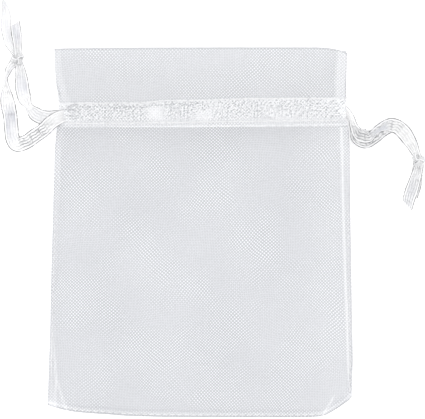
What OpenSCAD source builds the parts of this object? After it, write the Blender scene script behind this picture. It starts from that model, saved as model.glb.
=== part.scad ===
// Drawstring gift pouch of sheer cloth, lying on its back.
// X runs across the pouch, Y from the bottom seam to the mouth, Z up.
// The origin is on the surface it lies on, at the middle of the pouch.

/* [Pouch] */
// Length from the bottom seam to the folded edge at the mouth
pouch_len = 121; // [110:0.5:140]
// Width at the bottom of the pouch
bottom_w = 100; // [98:0.5:108]
// Width of the neck, from the drawstring casing to the mouth
neck_w = 96.4; // [94:0.2:97]
// Height of the pouch at its fullest point
body_h = 8.5; // [8:0.25:14]
// Height of the open neck
neck_h = 7.2; // [7.2:0.1:8]
// Length of the neck, which is the casing and the header frill above it
neck_len = 25.6; // [25:0.1:28]
// Thickness of a ply of cloth
ply = 0.25; // [0.2:0.05:0.25]

/* [Casing] */
// Distance from the casing's lower stitch row down to the neck's start
row_inset = 0.9; // [0.6:0.1:1]
// Distance between the casing's two stitch rows
casing_w = 7.7; // [7.6:0.1:8.5]
// How far in from the side edges the exit gaps reach
gap_depth = 6.2; // [6.2:0.1:8]

/* [Drawstrings] */
// Width of a drawstring ribbon where it lies in the casing
held_w = 4.4; // [4:0.1:4.4]
// Width of a ribbon where it is free
free_w = 4.8; // [4:0.1:5]
// Thickness of a ribbon in the casing
held_t = 0.2; // [0.15:0.05:0.2]
// Thickness of a free ribbon
free_t = 0.3; // [0.2:0.05:0.35]

/* [Seams] */
// Width of the seam allowance inside the side and bottom seams
allowance_w = 2.3; // [2:0.1:3]
// Distance from one stitch to the next
stitch_pitch = 2.5; // [2:0.1:4]
// Length of one stitch
stitch_l = 1.7; // [1:0.1:1.9]

/* [Hidden] */

// Places along the pouch
bottom_y = -pouch_len / 2;
mouth_y = pouch_len / 2;
neck_y = mouth_y - neck_len;
body_len = pouch_len - neck_len;
stitch_t = 0.2;
lower_row_y = neck_y + row_inset;
upper_row_y = lower_row_y + casing_w;

// Cross-section of the neck: flat over most of its width, rounded at the sides
side_rx = 6.2;
side_rz = neck_h / 2;
mid_z = neck_h / 2;
flat_x = neck_w / 2 - side_rx;
gap_x = neck_w / 2 - gap_depth;

// Depths below the outer face of the neck: left ribbon, right ribbon, hem
left_depth = 0.4;
right_depth = 0.8;
hem_depth = 1.15;

// Each ribbon narrows to turn_w where it turns back at the far side, so that
// the other ribbon's ends pass beside it
turn_w = 2.1;
turn_x = 40;
left_low_y = lower_row_y + 0.5;
right_high_y = upper_row_y - 0.5;

// Half outlines, as [distance from the bottom, x]: the left corner is softly
// rounded and the right corner is not pushed out, so it is cut off
left_edge = [
    [0, -8], [0.4, -22], [1.4, -36], [3, -46], [5, -bottom_w / 2], [body_len, -neck_w / 2]
];
right_edge = [
    [0, 39.6], [3, 45.2], [5.6, 48.8], [8, bottom_w / 2], [body_len, neck_w / 2]
];

// Routes of the free ribbons, as [x, y, z, width]
knot_w = 2.6;
left_knot_at = [-60, 57.4, 2.5];
right_knot_at = [71.7, 24.2, 2.5];

left_front_route = [
    [-42, 38.55, 6.7, held_w], [-45.4, 38.5, 6.9, held_w], [-49, 36.4, 6.6, free_w],
    [-52, 33.8, 4, free_w], [-55, 31.8, 1.8, free_w], [-58, 29.9, 1, free_w],
    [-60.6, 29.4, 0.9, free_w], [-62, 31.6, 0.9, free_w], [-62.4, 35, 0.8, free_w],
    [-62.8, 39, 0.7, free_w], [-63.6, 43.5, 0.6, free_w], [-64.2, 47.5, 0.8, 4],
    [-64.4, 51, 1.2, 3.2], [-63.2, 54, 1.8, knot_w], [-61.4, 56.2, 2.2, knot_w]
];
left_back_route = [
    [-42, 38.5, 0.5, held_w], [-46.5, 38.5, 0.5, held_w], [-51.5, 38.2, 0.5, free_w],
    [-54.4, 39.5, 0.5, free_w], [-56.6, 41.8, 0.5, free_w], [-58, 44.6, 0.6, free_w],
    [-58.8, 48, 0.7, free_w], [-59, 51.4, 1, 4], [-59.3, 54, 1.6, 3.2], [-59.7, 56, 2.1, knot_w]
];
left_long_route = [
    [-60.4, 58.8, 2.4, knot_w], [-61.8, 60.8, 2, knot_w], [-63.2, 63.2, 1.4, 3],
    [-63.9, 66.4, 0.9, 3.2], [-64, 69.6, 0.6, 3.2], [-64.1, 73, 0.5, 2.8], [-64.5, 76.8, 0.4, 1.4]
];
left_short_route = [
    [-60, 58.8, 3.2, knot_w], [-60.1, 60.8, 2.9, knot_w], [-60.3, 63.4, 2.3, 3.2],
    [-60.7, 66.2, 1.8, 3.4], [-61.1, 69.2, 1.5, 3]
];
right_front_route = [
    [42, 40.9, 6.3, held_w], [46.2, 40.6, 6.5, free_w], [49.1, 38.4, 6.5, free_w],
    [50.5, 35.2, 5.3, free_w], [52.5, 32.7, 3, free_w], [55.2, 32, 1.8, free_w],
    [57.8, 33.6, 1.7, free_w], [60.4, 35, 1.7, free_w], [62.8, 35.7, 1.7, free_w],
    [65.4, 34.8, 1.7, free_w], [67.8, 32.2, 1.7, free_w], [69.6, 29.4, 1.8, 4],
    [70.9, 26.8, 2.2, 3], [71.5, 25.4, 2.8, knot_w]
];
right_back_route = [
    [42, 40.9, 0.9, held_w], [46.2, 40.6, 0.9, free_w], [49.1, 37.8, 0.9, free_w],
    [50.4, 34.4, 0.8, free_w], [51.7, 31.6, 0.7, free_w], [54.2, 30.4, 0.6, free_w],
    [57, 31.8, 0.6, free_w], [59.6, 34, 0.6, free_w], [62.6, 35.6, 0.6, free_w],
    [65.4, 34.8, 0.6, free_w], [67.8, 32.2, 0.6, free_w], [69.6, 29.4, 0.8, 4],
    [70.9, 26.8, 1.3, 3], [71.5, 25.4, 1.8, knot_w]
];
right_long_route = [
    [71.9, 23, 2.6, knot_w], [71.5, 20.8, 2.3, 3.2], [70.7, 18, 1.8, 3.8],
    [69.8, 15, 1.6, 4.2], [68.8, 12, 1.5, 4.2], [68.1, 9.2, 1.4, 3.6]
];
right_short_route = [
    [71.4, 23, 1.7, knot_w], [71.3, 20.8, 1.3, 3.2], [71.2, 18, 0.8, 3.8],
    [70.6, 15.2, 0.6, 4], [69.8, 12.6, 0.5, 4]
];

function reversed(list) = [for (i = [len(list) - 1:-1:0]) list[i]];
function unit(v) = v / norm(v);
function blend(a, b, t) = a + (b - a) * t;
function ease(t) = let (c = min(max(t, 0), 1)) c * c * (3 - 2 * c);

// Points of one rounded side of the neck's cross-section, depth below its face
arc_steps = 6;
function side_arc(depth, side, from, to) = [
    for (i = [0:arc_steps])
        let (a = blend(from, to, i / arc_steps))
        [side * (flat_x + (side_rx - depth) * cos(a)), mid_z + (side_rz - depth) * sin(a)]
];
function half_ring(depth, up) = concat(side_arc(depth, 1, 0, up * 90), side_arc(depth, -1, up * 90, 0));

// Draws a cross-section in X and Z, and extends it in Y
module along(y_from, y_to) {
    translate([0, y_to, 0]) rotate([90, 0, 0]) linear_extrude(y_to - y_from) children();
}

// One ply of the front (up = 1) or back (up = -1) of the neck
module neck_ply(up, depth, thick, y_from, y_to) {
    along(y_from, y_to)
        polygon(concat(half_ring(depth, up), reversed(half_ring(depth + thick, up))));
}

// The gaps at both ends of the casing, where the ribbons come out
module exit_gaps() {
    for (side = [-1, 1])
        translate([side * (gap_x + 10), (left_low_y + right_high_y) / 2, mid_z])
            cube([20, right_high_y - left_low_y + 0.3, neck_h + 2], center = true);
}

module outer_neck(up) {
    fold_t = 0.25;
    difference() {
        neck_ply(up, 0, ply, neck_y, mouth_y - fold_t);
        exit_gaps();
    }
    neck_ply(up, 0, hem_depth + ply, mouth_y - fold_t, mouth_y);
}

module hem(up) {
    neck_ply(up, hem_depth, ply, neck_y + 0.2, mouth_y - 0.25);
}

// Stitches through both plies, along one edge of the casing
module casing_stitches(y, z) {
    count = floor((flat_x - 2) / stitch_pitch);
    for (i = [-count:count])
        translate([i * stitch_pitch - stitch_l / 2, y - stitch_t, z])
            cube([stitch_l, stitch_t, hem_depth - ply]);
}

// The front panel of the body: a low dome sewn down to the back panel
grid_u = 16;
grid_v = 16;
rim_z = 0.55;
crown_y = 42;
function row_y(j) = body_len * pow(j / grid_v, 1.5);
function crown_z(y) = y < crown_y
    ? rim_z + (body_h - rim_z) * sqrt(sin(90 * y / crown_y))
    : blend(body_h, neck_h, ease((y - crown_y) / (body_len - crown_y)));
function side_power(y) = blend(2.5, 8, ease((y - 60) / (body_len - 60)));
function dome_z(u, y) =
    rim_z + (crown_z(y) - rim_z) * sqrt(max(0, 1 - pow(abs(u), side_power(y))));
function dome_point(i, j, drop) =
    let (u = 2 * i / grid_u - 1, y = row_y(j))
    [
        blend(lookup(y, left_edge), lookup(y, right_edge), i / grid_u),
        bottom_y + y,
        dome_z(u, y) - drop
    ];
function at(i, j) = j * (grid_u + 1) + i;

module front_panel() {
    layer = (grid_u + 1) * (grid_v + 1);
    points = concat(
        [for (j = [0:grid_v]) for (i = [0:grid_u]) dome_point(i, j, 0)],
        [for (j = [0:grid_v]) for (i = [0:grid_u]) dome_point(i, j, ply)]
    );
    quads = [for (j = [0:grid_v - 1]) for (i = [0:grid_u - 1])
        [at(i, j), at(i, j + 1), at(i + 1, j + 1), at(i + 1, j)]];
    rim = concat(
        [for (i = [0:grid_u]) at(i, 0)],
        [for (j = [1:grid_v]) at(grid_u, j)],
        [for (i = [grid_u - 1:-1:0]) at(i, grid_v)],
        [for (j = [grid_v - 1:-1:1]) at(0, j)]
    );
    top = [for (q = quads) each [[q[0], q[1], q[2]], [q[0], q[2], q[3]]]];
    under = [for (t = top) [t[0] + layer, t[2] + layer, t[1] + layer]];
    walls = [for (k = [0:len(rim) - 1])
        let (a = rim[k], b = rim[(k + 1) % len(rim)])
        each [[a, b, b + layer], [a, b + layer, a + layer]]];
    color([0.93, 0.93, 0.96]) polyhedron(points, concat(top, under, walls));
}

// The outline of the body, moved in from its edges
function outline(inset) = concat(
    [for (p = left_edge) [p[1] + inset, bottom_y + p[0] + (p[0] < body_len ? inset : 0)]],
    [for (p = reversed(right_edge)) [p[1] - inset, bottom_y + p[0] + (p[0] < body_len ? inset : 0)]]
);

module back_panel() {
    color([0.9, 0.9, 0.93]) linear_extrude(rim_z - ply) polygon(outline(0));
}

module front_neck() {
    color([0.94, 0.94, 0.97]) outer_neck(1);
}

module back_neck() {
    color([0.91, 0.91, 0.94]) outer_neck(-1);
}

module front_hem() {
    color([0.95, 0.95, 0.98]) hem(1);
}

module back_hem() {
    color([0.92, 0.92, 0.95]) hem(-1);
}

// Seam allowances: the turned-in edges of both panels, which lie on the back panel
allowance_t = 0.2;
edge_gap = 1;
allowance_top = body_len - 6;
function side_x(y, side) = side < 0 ? lookup(y, left_edge) : lookup(y, right_edge);

module side_allowance(side, y_from) {
    translate([0, 0, rim_z - ply]) linear_extrude(allowance_t)
        polygon([
            [side_x(y_from, side) - side * edge_gap, bottom_y + y_from],
            [side_x(allowance_top, side) - side * edge_gap, bottom_y + allowance_top],
            [side_x(allowance_top, side) - side * (edge_gap + allowance_w), bottom_y + allowance_top],
            [side_x(y_from, side) - side * (edge_gap + allowance_w), bottom_y + y_from]
        ]);
}

module side_stitches(side, y_from) {
    count = floor((allowance_top - y_from) / stitch_pitch) - 1;
    for (i = [0:count])
        let (y = y_from + stitch_pitch * (i + 0.3))
        translate([side_x(y + stitch_l, side) - side * 1.6, bottom_y + y, rim_z - ply + allowance_t])
            cube([stitch_t, stitch_l, stitch_t]);
}

module left_side_allowance() {
    color("white") side_allowance(-1, 7);
}

module right_side_allowance() {
    color("white") side_allowance(1, 12);
}

module bottom_allowance() {
    color("white") translate([-20, bottom_y + edge_gap + 0.6, rim_z - ply])
        cube([56, allowance_w, allowance_t]);
}

module left_side_stitches() {
    color("silver") side_stitches(-1, 7);
}

module right_side_stitches() {
    color("silver") side_stitches(1, 12);
}

module bottom_stitches() {
    color("silver")
        for (x = [-19:stitch_pitch:34])
            translate([x, bottom_y + 2.2, rim_z - ply + allowance_t]) cube([stitch_l, stitch_t, stitch_t]);
}

module front_lower_stitches() {
    color("silver") casing_stitches(lower_row_y, neck_h - hem_depth);
}

module front_upper_stitches() {
    color("silver") casing_stitches(upper_row_y + stitch_t, neck_h - hem_depth);
}

module back_lower_stitches() {
    color("silver") casing_stitches(lower_row_y, ply);
}

module back_upper_stitches() {
    color("silver") casing_stitches(upper_row_y + stitch_t, ply);
}

// The side seam of the header, above the exit gap, folded to the inside
module header_allowance(side) {
    x_out = neck_w / 2 - 1.8;
    x_in = x_out - allowance_w;
    y_from = upper_row_y + 0.5;
    translate([side > 0 ? x_in : -x_out, y_from, mid_z - 0.15])
        cube([x_out - x_in, mouth_y - 0.8 - y_from, 0.3]);
}

// The bars of thread that end the side seam below and above the exit gap
module exit_tacks(side) {
    tack = [0.5, 0.5, 2.4];
    for (y = [left_low_y - 0.7, right_high_y + 0.2])
        translate([side * (neck_w / 2 + 0.1 + tack[0] / 2) - tack[0] / 2, y, mid_z - tack[2] / 2])
            cube(tack);
}

module left_header_allowance() {
    color("white") header_allowance(-1);
}

module right_header_allowance() {
    color("white") header_allowance(1);
}

module left_exit_tacks() {
    color("silver") exit_tacks(-1);
}

module right_exit_tacks() {
    color("silver") exit_tacks(1);
}

// A ribbon in the casing: along the front, round the far side, along the back
function turn_path(depth, side) = concat(
    [[-side * gap_x, mid_z + side_rz - depth]],
    side_arc(depth, side, 90, -90),
    [[-side * gap_x, mid_z - side_rz + depth]]
);

module ribbon_section(depth, side) {
    polygon(concat(turn_path(depth, side), reversed(turn_path(depth + held_t, side))));
}

module ribbon_loop(depth, side, strand_y, turn_y) {
    along(strand_y, strand_y + held_w) intersection() {
        ribbon_section(depth, side);
        translate([-turn_x - (side < 0 ? 0 : 20), -1]) square([2 * turn_x + 20, neck_h + 2]);
    }
    along(turn_y, turn_y + turn_w) intersection() {
        ribbon_section(depth, side);
        translate([side < 0 ? -turn_x - 20 : turn_x, -1]) square([20, neck_h + 2]);
    }
}

// Sweeps a flat ribbon along a route of [x, y, z, width] points
ribbon_sides = 8;
function heading(r, i) = unit([for (k = [0:2]) r[min(i + 1, len(r) - 1)][k] - r[max(i - 1, 0)][k]]);
function across(r, i) = unit(cross([0, 0, 1], heading(r, i)));
function ribbon_ring(r, i) =
    let (side = across(r, i), normal = cross(heading(r, i), side))
    [for (k = [0:ribbon_sides - 1])
        let (a = 360 * (k + 0.5) / ribbon_sides)
        [r[i][0], r[i][1], r[i][2]] + side * (r[i][3] / 2 * cos(a)) + normal * (free_t / 2 * sin(a))];

module ribbon(r) {
    n = ribbon_sides;
    last = len(r) - 1;
    points = [for (i = [0:last]) each ribbon_ring(r, i)];
    walls = [for (i = [0:last - 1]) for (k = [0:n - 1])
        let (a = i * n + k, b = i * n + (k + 1) % n)
        each [[a, a + n, b + n], [a, b + n, b]]];
    caps = [for (k = [1:n - 2]) each [[0, k, k + 1], [last * n, last * n + k + 1, last * n + k]]];
    polyhedron(points, concat(walls, caps));
}

// An overhand knot in both ends of a ribbon
module knot(place, turn) {
    translate(place) rotate([0, 0, turn]) hull() {
        translate([-1, 0, 0.2]) sphere(d = 3.6, $fn = 12);
        translate([1, 0, -0.2]) sphere(d = 4, $fn = 12);
    }
}

module left_ribbon_loop() {
    color("gainsboro") ribbon_loop(left_depth, 1, left_low_y, left_low_y);
}

module left_front_lead() {
    color("white") ribbon(left_front_route);
}

module left_back_lead() {
    color("white") ribbon(left_back_route);
}

module left_knot() {
    color("white") knot(left_knot_at, 60);
}

module left_long_tail() {
    color("white") ribbon(left_long_route);
}

module left_short_tail() {
    color("white") ribbon(left_short_route);
}

module right_ribbon_loop() {
    color("gainsboro") ribbon_loop(right_depth, -1, right_high_y - held_w, right_high_y - turn_w);
}

module right_front_lead() {
    color("white") ribbon(right_front_route);
}

module right_back_lead() {
    color("white") ribbon(right_back_route);
}

module right_knot() {
    color("white") knot(right_knot_at, -50);
}

module right_long_tail() {
    color("white") ribbon(right_long_route);
}

module right_short_tail() {
    color("white") ribbon(right_short_route);
}

front_panel();
back_panel();
front_neck();
back_neck();
front_hem();
back_hem();
left_side_allowance();
right_side_allowance();
bottom_allowance();
left_side_stitches();
right_side_stitches();
bottom_stitches();
front_lower_stitches();
front_upper_stitches();
back_lower_stitches();
back_upper_stitches();
left_header_allowance();
right_header_allowance();
left_exit_tacks();
right_exit_tacks();
left_ribbon_loop();
left_front_lead();
left_back_lead();
left_knot();
left_long_tail();
left_short_tail();
right_ribbon_loop();
right_front_lead();
right_back_lead();
right_knot();
right_long_tail();
right_short_tail();
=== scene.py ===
import math
import random

import bpy
import numpy as np
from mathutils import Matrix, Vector, noise


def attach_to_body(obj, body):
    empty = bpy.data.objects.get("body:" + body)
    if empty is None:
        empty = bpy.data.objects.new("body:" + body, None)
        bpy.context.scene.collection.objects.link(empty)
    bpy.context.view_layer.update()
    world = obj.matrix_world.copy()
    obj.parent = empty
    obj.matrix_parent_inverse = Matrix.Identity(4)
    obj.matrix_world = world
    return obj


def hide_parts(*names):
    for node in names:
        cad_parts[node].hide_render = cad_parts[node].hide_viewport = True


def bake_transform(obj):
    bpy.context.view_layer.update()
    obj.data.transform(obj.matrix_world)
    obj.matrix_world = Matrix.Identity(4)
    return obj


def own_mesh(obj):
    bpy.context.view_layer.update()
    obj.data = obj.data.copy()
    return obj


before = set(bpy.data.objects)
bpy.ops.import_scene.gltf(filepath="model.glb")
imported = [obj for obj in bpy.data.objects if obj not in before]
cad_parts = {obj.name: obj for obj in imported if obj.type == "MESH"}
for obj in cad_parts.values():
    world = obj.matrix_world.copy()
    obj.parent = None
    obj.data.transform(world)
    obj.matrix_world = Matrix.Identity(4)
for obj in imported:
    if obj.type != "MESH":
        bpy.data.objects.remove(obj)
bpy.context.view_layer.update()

MM = 0.001
# The neck's middle plane, and how far from the middle the free ribbons start, in mm
MID_Z = 3.6
STRAND_START = 42

# ---- camera and light

# The camera looks straight down through a long lens
VIEW_CENTRE = (0.00395, 0.00793)
VIEW_WIDTH = 0.1398
CAMERA_HEIGHT = 1.25
SENSOR_WIDTH = 36
# About the middle of the pouch's thickness, where the view is VIEW_WIDTH wide
FOCUS_HEIGHT = 0.003


def make_camera():
    data = bpy.data.cameras.new("camera")
    data.type = "PERSP"
    data.sensor_fit = "HORIZONTAL"
    data.sensor_width = SENSOR_WIDTH
    data.lens = SENSOR_WIDTH * (CAMERA_HEIGHT - FOCUS_HEIGHT) / VIEW_WIDTH
    data.clip_start = 0.01
    data.clip_end = 20
    camera = bpy.data.objects.new("camera", data)
    camera.location = (*VIEW_CENTRE, CAMERA_HEIGHT)
    bpy.context.scene.collection.objects.link(camera)
    bpy.context.scene.camera = camera


def make_light():
    world = bpy.data.worlds.new("studio")
    world.use_nodes = True
    background = world.node_tree.nodes["Background"]
    background.inputs["Color"].default_value = (1, 1, 1, 1)
    background.inputs["Strength"].default_value = 1.06
    bpy.context.scene.world = world
    data = bpy.data.lights.new("softbox", "AREA")
    data.shape = "RECTANGLE"
    data.size = 0.9
    data.size_y = 0.6
    data.energy = 1.2
    softbox = bpy.data.objects.new("softbox", data)
    place = Vector((-0.35, 0.45, 0.9))
    softbox.location = place
    softbox.rotation_euler = (-place).to_track_quat("-Z", "Y").to_euler()
    bpy.context.scene.collection.objects.link(softbox)
    bpy.context.scene.view_settings.view_transform = "Standard"


make_camera()
make_light()

# ---- small tools


def between(table, x):
    """The value at x of a table of (x, value) rows."""
    return float(np.interp(x, [row[0] for row in table], [row[1] for row in table]))


def smooth(t):
    t = min(max(t, 0.0), 1.0)
    return t * t * (3 - 2 * t)


def wave(x, y, seed=0.0):
    """Smooth noise from -1 to 1."""
    return noise.noise(Vector((x, y, seed)))


def mesh_object(name, verts, faces, uvs=None, tones=None, lights=None):
    """A mesh from points in mm, with a cloth coordinate for each in uvs. On cloth, tones is extra density,
    and lights is painted light that whitens it, or below zero painted shade that darkens it. On ribbons
    they are greyness, which is painted shade, and the strength of the dark lines, painted shade of the
    ribbon's grooves and edges."""
    mesh = bpy.data.meshes.new(name)
    mesh.from_pydata([[c * MM for c in v] for v in verts], [], faces)
    mesh.update()
    if uvs is not None:
        layer = mesh.uv_layers.new(name="weave")
        for loop in mesh.loops:
            layer.data[loop.index].uv = uvs[loop.vertex_index]
    nothing = [0.0] * len(verts)
    for kind, values in (("tone", tones or nothing), ("light", lights or nothing)):
        layer = mesh.attributes.new(kind, "FLOAT", "POINT")
        layer.data.foreach_set("value", np.array(values, np.float32))
    mesh.shade_smooth()
    obj = bpy.data.objects.new(name, mesh)
    bpy.context.scene.collection.objects.link(obj)
    return obj


def grid_faces(rows, columns, skip=None):
    faces = []
    for j in range(rows - 1):
        for i in range(columns - 1):
            a = j * columns + i
            if skip is None or not skip(j, i):
                faces.append((a, a + 1, a + columns + 1, a + columns))
    return faces


def tube(points, radius, sides=5):
    """Points and faces of a round thread along a line of points in mm."""
    verts, faces = [], []
    line = [Vector(p) for p in points]
    for k, p in enumerate(line):
        ahead = (line[min(k + 1, len(line) - 1)] - line[max(k - 1, 0)]).normalized()
        side = ahead.cross(Vector((0, 0, 1)))
        side = side.normalized() if side.length > 1e-6 else Vector((1, 0, 0))
        up = side.cross(ahead)
        thin = 0.35 if k in (0, len(line) - 1) else 1.0
        for s in range(sides):
            a = 2 * math.pi * s / sides
            verts.append(p + (side * math.cos(a) + up * math.sin(a)) * radius * thin)
    for k in range(len(line) - 1):
        for s in range(sides):
            a, b = k * sides + s, k * sides + (s + 1) % sides
            faces.append((a, b, b + sides, a + sides))
    faces.append(tuple(range(sides))[::-1])
    faces.append(tuple(range((len(line) - 1) * sides, len(line) * sides)))
    return verts, faces


def threads_object(name, lines, radius):
    """One mesh of many separate threads."""
    verts, faces = [], []
    for line in lines:
        v, f = tube(line, radius)
        base = len(verts)
        verts += v
        faces += [tuple(base + n for n in face) for face in f]
    return mesh_object(name, verts, faces)


# ---- materials


class Nodes:
    """A new material and short calls for building its node tree."""

    def __init__(self, name):
        self.material = bpy.data.materials.new(name)
        self.material.use_nodes = True
        self.tree = self.material.node_tree
        self.tree.nodes.clear()

    def add(self, kind, sockets=None, **settings):
        """A node. sockets gives its inputs, by name or number, a value or another node's output."""
        node = self.tree.nodes.new("ShaderNode" + kind)
        for key, value in settings.items():
            setattr(node, key, value)
        for key, value in (sockets or {}).items():
            if isinstance(value, bpy.types.NodeSocket):
                self.tree.links.new(value, node.inputs[key])
            else:
                node.inputs[key].default_value = value
        return node

    def math(self, operation, a, b=0.0, clamp=False):
        return self.add("Math", {0: a, 1: b}, operation=operation, use_clamp=clamp).outputs[0]

    def times(self, a, b, clamp=False):
        return self.math("MULTIPLY", a, b, clamp)

    def plus(self, a, b, clamp=False):
        return self.math("ADD", a, b, clamp)

    def fit(self, value, low, high, to_low, to_high):
        sockets = {"Value": value, "From Min": low, "From Max": high, "To Min": to_low, "To Max": to_high}
        return self.add("MapRange", sockets).outputs[0]

    def noise(self, vector, scale, detail=2.0, place=(0.0, 0.0)):
        """Noise along vector. place picks another part of the pattern."""
        moved = self.add("VectorMath", {0: vector, 1: (*place, 0.0)}, operation="ADD")
        sockets = {"Vector": moved.outputs[0], "Scale": scale, "Detail": detail}
        return self.add("TexNoise", sockets).outputs["Fac"]

    def mix_colour(self, factor, a, b):
        return self.add("Mix", {0: factor, 6: a, 7: b}, data_type="RGBA").outputs[2]

    def bump(self, height, strength, distance):
        sockets = {"Height": height, "Strength": strength, "Distance": distance}
        return self.add("Bump", sockets).outputs[0]

    def weave_coordinate(self):
        return self.add("UVMap", uv_map="weave").outputs["UV"]

    def separate(self, vector):
        return self.add("SeparateXYZ", {0: vector}).outputs

    def drawn(self, name):
        return self.add("Attribute", attribute_name=name).outputs["Fac"]

    def finish(self, shader):
        self.add("OutputMaterial", {"Surface": shader.outputs[0]})
        return self.material


THREAD_PITCH = 0.54
# Colours that painted light and painted shade blend into the cloth
PAINTED_LIGHT_WHITE = (0.975, 0.982, 1.0, 1)
PAINTED_SHADE_GREY = (0.33, 0.335, 0.36, 1)


def sheer_shader(n, colour, cover, bump, rough, sheen):
    """See-through cloth: threads that reflect and pass light, with open gaps between them."""
    threads = n.add("BsdfPrincipled", {
        "Base Color": colour, "Roughness": rough, "Specular IOR Level": 0.35,
        "Sheen Weight": sheen, "Sheen Roughness": 0.4, "Normal": bump,
    })
    through = n.add("BsdfTranslucent", {"Color": colour})
    lit = n.add("MixShader", {0: 0.15, 1: threads.outputs[0], 2: through.outputs[0]})
    gaps = n.add("BsdfTransparent")
    return n.add("MixShader", {0: cover, 1: gaps.outputs[0], 2: lit.outputs[0]})


def organza(name, turn, offset):
    """Plain-woven sheer organza. turn rotates the weave, in degrees, and offset picks other noise."""
    n = Nodes(name)
    uv = n.weave_coordinate()
    sockets = {"Vector": uv, "Angle": math.radians(turn)}
    turned = n.add("VectorRotate", sockets, rotation_type="Z_AXIS")
    split = n.separate(turned.outputs[0])
    drift_x = n.fit(n.noise(uv, 0.045, place=(offset, 3.0)), 0.25, 0.75, -1.0, 1.0)
    drift_y = n.fit(n.noise(uv, 0.05, place=(7.0, offset)), 0.25, 0.75, -1.0, 1.0)
    sx = n.math("SINE", n.times(n.plus(split[0], drift_x), math.pi / THREAD_PITCH))
    sy = n.math("SINE", n.times(n.plus(split[1], drift_y), math.pi / THREAD_PITCH))
    # threads cover most where either passes, and least in the gaps between them
    weave = n.math("MAXIMUM", n.math("ABSOLUTE", sx), n.math("ABSOLUTE", sy))
    slub = n.noise(uv, 0.9, 3.0, (offset, offset))
    cloud = n.noise(uv, 0.08, place=(offset, 1.0))
    calm = n.fit(n.noise(uv, 0.055, place=(offset, 31.0)), 0.38, 0.58, 0.15, 1.3)
    over = n.times(n.times(sx, sy), calm)
    drawn = n.drawn("light")
    density = n.plus(n.fit(weave, 0.3, 1.0, -0.16, 0.10), n.times(over, 0.14))
    density = n.plus(density, n.fit(slub, 0.3, 0.7, -0.03, 0.03))
    density = n.plus(density, n.fit(cloud, 0.3, 0.7, -0.02, 0.02))
    density = n.plus(density, n.times(n.drawn("tone"), 0.6))
    density = n.plus(density, 0.60, clamp=True)
    density = n.plus(density, n.times(n.math("ABSOLUTE", drawn), 0.25), clamp=True)
    shade = n.plus(n.times(over, 0.5), 0.5, clamp=True)
    colour = n.mix_colour(shade, (0.63, 0.64, 0.67, 1), (0.87, 0.88, 0.905, 1))
    # The light attribute is painted light that whitens the cloth above zero, and painted shade that darkens
    # it below zero; both also thicken the weave
    colour = n.mix_colour(n.plus(drawn, 0.0, clamp=True), colour, PAINTED_LIGHT_WHITE)
    colour = n.mix_colour(n.times(drawn, -1.0, clamp=True), colour, PAINTED_SHADE_GREY)
    return n.finish(sheer_shader(n, colour, density, n.bump(weave, 0.25, 0.0001), 0.42, 0.15))


def ribbon_material(name, groove_shade_colour, rim_shade_colour):
    """Narrow organza ribbon with woven edges, whose dark lengthwise lines, flecks and rims are painted
    shade of its grooves, crumples and edges, and whose greyness is painted shade. Its u runs across, from 0
    to 1.
    """
    n = Nodes(name)
    uv = n.weave_coordinate()
    split = n.separate(uv)
    across, along = split[0], split[1]
    strength = n.drawn("light")
    greyness = n.drawn("tone")
    wander = n.fit(n.noise(uv, 0.4, place=(2.0, 5.0)), 0.3, 0.7, -0.08, 0.08)
    # Painted shade: dark lengthwise lines in the grooves between the ribbon's ridges, and dark flecks, as
    # strong as its light attribute
    lines = n.math("ABSOLUTE", n.math("SINE", n.times(n.plus(across, wander), math.pi * 5.0)))
    patch = n.fit(n.noise(uv, 0.5, 3.0, (11.0, 4.0)), 0.38, 0.55, 0.4, 1.0)
    valley = n.times(n.fit(lines, 0.6, 0.12, 0.0, 1.0), n.times(patch, strength), clamp=True)
    fleck = n.fit(n.noise(uv, 1.6, 3.0, (5.0, 17.0)), 0.5, 0.66, 0.0, 0.6)
    valley = n.math("MAXIMUM", valley, n.times(fleck, strength), clamp=True)
    edge = n.math("ABSOLUTE", n.math("SUBTRACT", across, 0.5))
    selvedge = n.fit(edge, 0.33, 0.37, 0.0, 1.0)
    rim = n.fit(edge, 0.43, 0.46, 0.0, 1.0)
    broken = n.fit(n.noise(uv, 0.9, place=(23.0, 9.0)), 0.34, 0.5, 0.45, 1.0)
    # A painted dark outline along both edges
    outline = n.times(n.times(rim, broken), n.fit(strength, 0.05, 0.35, 0.2, 1.0))
    # Greyness is painted shade
    colour = n.mix_colour(greyness, (1.0, 1.0, 1.0, 1), (0.7, 0.71, 0.76, 1))
    colour = n.mix_colour(valley, colour, groove_shade_colour)
    colour = n.mix_colour(selvedge, colour, (0.99, 0.99, 1.0, 1))
    colour = n.mix_colour(outline, colour, rim_shade_colour)
    cross = n.math("SINE", n.times(along, math.pi / 0.25))
    cover = n.plus(n.fit(valley, 0.0, 1.0, 0.56, 0.95), n.times(cross, 0.03))
    cover = n.plus(cover, n.times(selvedge, 0.35))
    cover = n.plus(cover, n.times(greyness, 0.3), clamp=True)
    return n.finish(sheer_shader(n, colour, cover, n.bump(lines, 0.4, 0.00015), 0.35, 0.3))


def thread_material(name, light, dark):
    """Twisted sewing thread."""
    n = Nodes(name)
    place = n.add("TexCoord").outputs["Object"]
    twist = n.add("TexWave", {"Vector": place, "Scale": 900, "Distortion": 1.5}).outputs["Fac"]
    factor = n.times(twist, n.fit(n.noise(place, 1800), 0.3, 0.7, 0.5, 1.0), clamp=True)
    shader = n.add("BsdfPrincipled", {
        "Base Color": n.mix_colour(factor, dark, light), "Roughness": 0.5, "Sheen Weight": 0.2,
        "Normal": n.bump(twist, 0.4, 0.0001),
    })
    return n.finish(shader)


def floor_material():
    """White, with a little light of its own so that it comes out pure white, as in the photo."""
    n = Nodes("white_table")
    shader = n.add("BsdfPrincipled", {
        "Base Color": (0.97, 0.97, 0.97, 1), "Roughness": 0.9, "Specular IOR Level": 0.1,
        "Emission Color": (1, 1, 1, 1), "Emission Strength": 0.27,
    })
    return n.finish(shader)


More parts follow.
